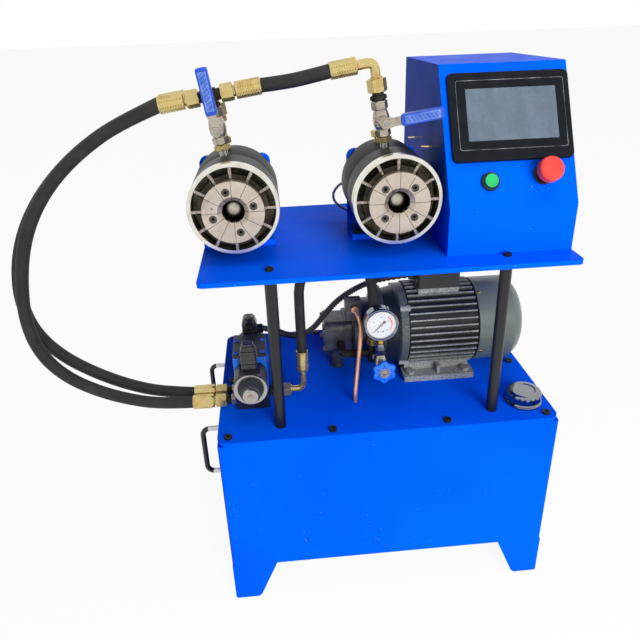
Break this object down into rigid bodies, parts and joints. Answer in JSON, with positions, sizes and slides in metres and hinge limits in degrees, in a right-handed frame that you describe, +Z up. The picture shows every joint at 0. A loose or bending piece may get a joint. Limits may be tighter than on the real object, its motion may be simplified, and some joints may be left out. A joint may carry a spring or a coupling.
{
  "type": "hose crimping machine",
  "caption": "Hydraulic hose crimping machine: two round multi-jaw heads and a control cabinet on a shelf above an oil tank with motor, pump, valves and hoses.",
  "frame": {"origin": "middle of the machine's footprint at floor level, hoses left out", "axes": "+X to the operator's right, +Y from the operator to the back, +Z up"},
  "size_m": [0.9666, 0.414, 0.9938],
  "materials": {
    "blue_paint": "gloss powder coat",
    "black_paint": "satin",
    "black_oxide_steel": "turned, chemically blackened and oiled",
    "bright_steel": "ground",
    "nickel_plate": "satin nickel plate",
    "yellow_zinc": "yellow passivated zinc plate",
    "chrome_plate": "polished",
    "hose_rubber": "cloth-wrapped rubber cover",
    "black_plastic": "moulded",
    "lever_grip": "dipped vinyl",
    "motor_enamel": "semi-gloss enamel over castings",
    "pump_aluminium": "die cast",
    "red_plastic": "moulded",
    "green_plastic": "moulded",
    "screen_bezel": "moulded",
    "dark_steel": "machined"
  },
  "bodies": {
    "frame": {"ball_valves": "nickel_plate", "bow_handles": "black_plastic", "cable_conduit": "black_plastic", "control_cabinet": "blue_paint", "fan_cowl": "motor_enamel", "filler_neck": "chrome_plate", "front_rings": "bright_steel", "gear_pump": "pump_aluminium", "head_barrels": "black_oxide_steel", "head_brackets": "blue_paint", "hose_fittings": "yellow_zinc", "hydraulic_adapters": "yellow_zinc", "link_hose": "hose_rubber", "long_hose_front": "hose_rubber", "long_hose_rear": "hose_rubber", "manifold_block": "dark_steel", "motor_frame": "motor_enamel", "pressure_gauge": "chrome_plate", "pump_hose": "hose_rubber", "shelf_plate": "blue_paint", "socket_screws": "black_oxide_steel", "solenoid_valve": "black_plastic", "support_posts": "black_paint", "tank_lid": "blue_paint", "tank_shell": "blue_paint", "touch_screen": "screen_bezel"},
    "left_piston": {"left_piston": "dark_steel"},
    "right_piston": {"right_piston": "dark_steel"},
    "left_valve_lever": {"left_valve_lever": "lever_grip"},
    "right_valve_lever": {"right_valve_lever": "lever_grip"},
    "gauge_handwheel": {"gauge_handwheel": "black_plastic"},
    "gauge_needle": {"gauge_needle": "black_paint"},
    "filler_cap": {"filler_cap": "chrome_plate"},
    "motor_rotor": {"motor_rotor": "dark_steel"},
    "start_button": {"start_button": "green_plastic"},
    "stop_button": {"stop_button": "red_plastic"},
    "left_jaw_01": {"left_jaw_01": "bright_steel"},
    "left_jaw_02": {"left_jaw_02": "bright_steel"},
    "left_jaw_03": {"left_jaw_03": "bright_steel"},
    "left_jaw_04": {"left_jaw_04": "bright_steel"},
    "left_jaw_05": {"left_jaw_05": "bright_steel"},
    "left_jaw_06": {"left_jaw_06": "bright_steel"},
    "left_jaw_07": {"left_jaw_07": "bright_steel"},
    "left_jaw_08": {"left_jaw_08": "bright_steel"},
    "left_jaw_09": {"left_jaw_09": "bright_steel"},
    "left_jaw_10": {"left_jaw_10": "bright_steel"},
    "left_jaw_11": {"left_jaw_11": "bright_steel"},
    "left_jaw_12": {"left_jaw_12": "bright_steel"},
    "right_jaw_01": {"right_jaw_01": "bright_steel"},
    "right_jaw_02": {"right_jaw_02": "bright_steel"},
    "right_jaw_03": {"right_jaw_03": "bright_steel"},
    "right_jaw_04": {"right_jaw_04": "bright_steel"},
    "right_jaw_05": {"right_jaw_05": "bright_steel"},
    "right_jaw_06": {"right_jaw_06": "bright_steel"},
    "right_jaw_07": {"right_jaw_07": "bright_steel"},
    "right_jaw_08": {"right_jaw_08": "bright_steel"},
    "right_jaw_09": {"right_jaw_09": "bright_steel"},
    "right_jaw_10": {"right_jaw_10": "bright_steel"},
    "right_jaw_11": {"right_jaw_11": "bright_steel"},
    "right_jaw_12": {"right_jaw_12": "bright_steel"}
  },
  "joints": [
    {"name": "left_piston_slide", "type": "slide", "parent": "frame", "child": "left_piston", "axis": [0, -1, 0], "range_m": [-0.024, 0.0032]},
    {"name": "left_jaw_01_slide", "type": "slide", "parent": "frame", "child": "left_jaw_01", "axis": [-0.2487, 0, -0.9686], "range_m": [-0.006, 0.0008]},
    {"name": "left_jaw_02_slide", "type": "slide", "parent": "frame", "child": "left_jaw_02", "axis": [-0.6997, 0, -0.7145], "range_m": [-0.006, 0.0008]},
    {"name": "left_jaw_03_slide", "type": "slide", "parent": "frame", "child": "left_jaw_03", "axis": [-0.9632, 0, -0.2689], "range_m": [-0.006, 0.0008]},
    {"name": "left_jaw_04_slide", "type": "slide", "parent": "frame", "child": "left_jaw_04", "axis": [-0.9686, 0, 0.2487], "range_m": [-0.006, 0.0008]},
    {"name": "left_jaw_05_slide", "type": "slide", "parent": "frame", "child": "left_jaw_05", "axis": [-0.7145, 0, 0.6997], "range_m": [-0.006, 0.0008]},
    {"name": "left_jaw_06_slide", "type": "slide", "parent": "frame", "child": "left_jaw_06", "axis": [-0.2689, 0, 0.9632], "range_m": [-0.006, 0.0008]},
    {"name": "left_jaw_07_slide", "type": "slide", "parent": "frame", "child": "left_jaw_07", "axis": [0.2487, 0, 0.9686], "range_m": [-0.006, 0.0008]},
    {"name": "left_jaw_08_slide", "type": "slide", "parent": "frame", "child": "left_jaw_08", "axis": [0.6997, 0, 0.7145], "range_m": [-0.006, 0.0008]},
    {"name": "left_jaw_09_slide", "type": "slide", "parent": "frame", "child": "left_jaw_09", "axis": [0.9632, 0, 0.2689], "range_m": [-0.006, 0.0008]},
    {"name": "left_jaw_10_slide", "type": "slide", "parent": "frame", "child": "left_jaw_10", "axis": [0.9686, 0, -0.2487], "range_m": [-0.006, 0.0008]},
    {"name": "left_jaw_11_slide", "type": "slide", "parent": "frame", "child": "left_jaw_11", "axis": [0.7145, 0, -0.6997], "range_m": [-0.006, 0.0008]},
    {"name": "left_jaw_12_slide", "type": "slide", "parent": "frame", "child": "left_jaw_12", "axis": [0.2689, 0, -0.9632], "range_m": [-0.006, 0.0008]},
    {"name": "right_piston_slide", "type": "slide", "parent": "frame", "child": "right_piston", "axis": [0, -1, 0], "range_m": [-0.024, 0.0032]},
    {"name": "right_jaw_01_slide", "type": "slide", "parent": "frame", "child": "right_jaw_01", "axis": [-0.2605, 0, -0.9655], "range_m": [-0.006, 0.0008]},
    {"name": "right_jaw_02_slide", "type": "slide", "parent": "frame", "child": "right_jaw_02", "axis": [-0.7083, 0, -0.7059], "range_m": [-0.006, 0.0008]},
    {"name": "right_jaw_03_slide", "type": "slide", "parent": "frame", "child": "right_jaw_03", "axis": [-0.9664, 0, -0.2571], "range_m": [-0.006, 0.0008]},
    {"name": "right_jaw_04_slide", "type": "slide", "parent": "frame", "child": "right_jaw_04", "axis": [-0.9655, 0, 0.2605], "range_m": [-0.006, 0.0008]},
    {"name": "right_jaw_05_slide", "type": "slide", "parent": "frame", "child": "right_jaw_05", "axis": [-0.7059, 0, 0.7083], "range_m": [-0.006, 0.0008]},
    {"name": "right_jaw_06_slide", "type": "slide", "parent": "frame", "child": "right_jaw_06", "axis": [-0.2571, 0, 0.9664], "range_m": [-0.006, 0.0008]},
    {"name": "right_jaw_07_slide", "type": "slide", "parent": "frame", "child": "right_jaw_07", "axis": [0.2605, 0, 0.9655], "range_m": [-0.006, 0.0008]},
    {"name": "right_jaw_08_slide", "type": "slide", "parent": "frame", "child": "right_jaw_08", "axis": [0.7083, 0, 0.7059], "range_m": [-0.006, 0.0008]},
    {"name": "right_jaw_09_slide", "type": "slide", "parent": "frame", "child": "right_jaw_09", "axis": [0.9664, 0, 0.2571], "range_m": [-0.006, 0.0008]},
    {"name": "right_jaw_10_slide", "type": "slide", "parent": "frame", "child": "right_jaw_10", "axis": [0.9655, 0, -0.2605], "range_m": [-0.006, 0.0008]},
    {"name": "right_jaw_11_slide", "type": "slide", "parent": "frame", "child": "right_jaw_11", "axis": [0.7059, 0, -0.7083], "range_m": [-0.006, 0.0008]},
    {"name": "right_jaw_12_slide", "type": "slide", "parent": "frame", "child": "right_jaw_12", "axis": [0.2571, 0, -0.9664], "range_m": [-0.006, 0.0008]},
    {"name": "left_valve_lever_turn", "type": "hinge", "parent": "frame", "child": "left_valve_lever", "pos_m": [-0.24547, -0.103, 0.89678], "axis": [0, 1, 0], "range_deg": [0, 90]},
    {"name": "right_valve_lever_turn", "type": "hinge", "parent": "frame", "child": "right_valve_lever", "pos_m": [0.01923, -0.103, 0.89678], "axis": [0, 1, 0], "range_deg": [-90, 0]},
    {"name": "gauge_needle_turn", "type": "hinge", "parent": "frame", "child": "gauge_needle", "pos_m": [0.0201, -0.082, 0.532], "axis": [0, 1, 0], "range_deg": [0, 270], "stiffness_Nm_per_rad": 0.002},
    {"name": "gauge_handwheel_turn", "type": "hinge", "parent": "frame", "child": "gauge_handwheel", "pos_m": [0.0215, -0.109, 0.447], "axis": [0, 1, 0], "range_deg": [-450, 0]},
    {"name": "filler_cap_turn", "type": "hinge", "parent": "frame", "child": "filler_cap", "pos_m": [0.2815, -0.147, 0.395], "axis": [0, 0, 1], "range_deg": [0, 90]},
    {"name": "motor_rotor_spin", "type": "hinge", "parent": "frame", "child": "motor_rotor", "pos_m": [0.1375, 0.039, 0.474], "axis": [1, 0, 0], "continuous": true},
    {"name": "start_button_press", "type": "slide", "parent": "frame", "child": "start_button", "axis": [0, 0.8778, -0.4791], "range_m": [0, 0.003], "stiffness_N_per_m": 600},
    {"name": "stop_button_press", "type": "slide", "parent": "frame", "child": "stop_button", "axis": [0, 0.8778, -0.4791], "range_m": [0, 0.005], "stiffness_N_per_m": 1500}
  ],
  "couplings": [
    {"joint": "left_jaw_01_slide", "follows": "left_piston_slide", "ratio": 0.25},
    {"joint": "left_jaw_02_slide", "follows": "left_piston_slide", "ratio": 0.25},
    {"joint": "left_jaw_03_slide", "follows": "left_piston_slide", "ratio": 0.25},
    {"joint": "left_jaw_04_slide", "follows": "left_piston_slide", "ratio": 0.25},
    {"joint": "left_jaw_05_slide", "follows": "left_piston_slide", "ratio": 0.25},
    {"joint": "left_jaw_06_slide", "follows": "left_piston_slide", "ratio": 0.25},
    {"joint": "left_jaw_07_slide", "follows": "left_piston_slide", "ratio": 0.25},
    {"joint": "left_jaw_08_slide", "follows": "left_piston_slide", "ratio": 0.25},
    {"joint": "left_jaw_09_slide", "follows": "left_piston_slide", "ratio": 0.25},
    {"joint": "left_jaw_10_slide", "follows": "left_piston_slide", "ratio": 0.25},
    {"joint": "left_jaw_11_slide", "follows": "left_piston_slide", "ratio": 0.25},
    {"joint": "left_jaw_12_slide", "follows": "left_piston_slide", "ratio": 0.25},
    {"joint": "right_jaw_01_slide", "follows": "right_piston_slide", "ratio": 0.25},
    {"joint": "right_jaw_02_slide", "follows": "right_piston_slide", "ratio": 0.25},
    {"joint": "right_jaw_03_slide", "follows": "right_piston_slide", "ratio": 0.25},
    {"joint": "right_jaw_04_slide", "follows": "right_piston_slide", "ratio": 0.25},
    {"joint": "right_jaw_05_slide", "follows": "right_piston_slide", "ratio": 0.25},
    {"joint": "right_jaw_06_slide", "follows": "right_piston_slide", "ratio": 0.25},
    {"joint": "right_jaw_07_slide", "follows": "right_piston_slide", "ratio": 0.25},
    {"joint": "right_jaw_08_slide", "follows": "right_piston_slide", "ratio": 0.25},
    {"joint": "right_jaw_09_slide", "follows": "right_piston_slide", "ratio": 0.25},
    {"joint": "right_jaw_10_slide", "follows": "right_piston_slide", "ratio": 0.25},
    {"joint": "right_jaw_11_slide", "follows": "right_piston_slide", "ratio": 0.25},
    {"joint": "right_jaw_12_slide", "follows": "right_piston_slide", "ratio": 0.25}
  ]
}
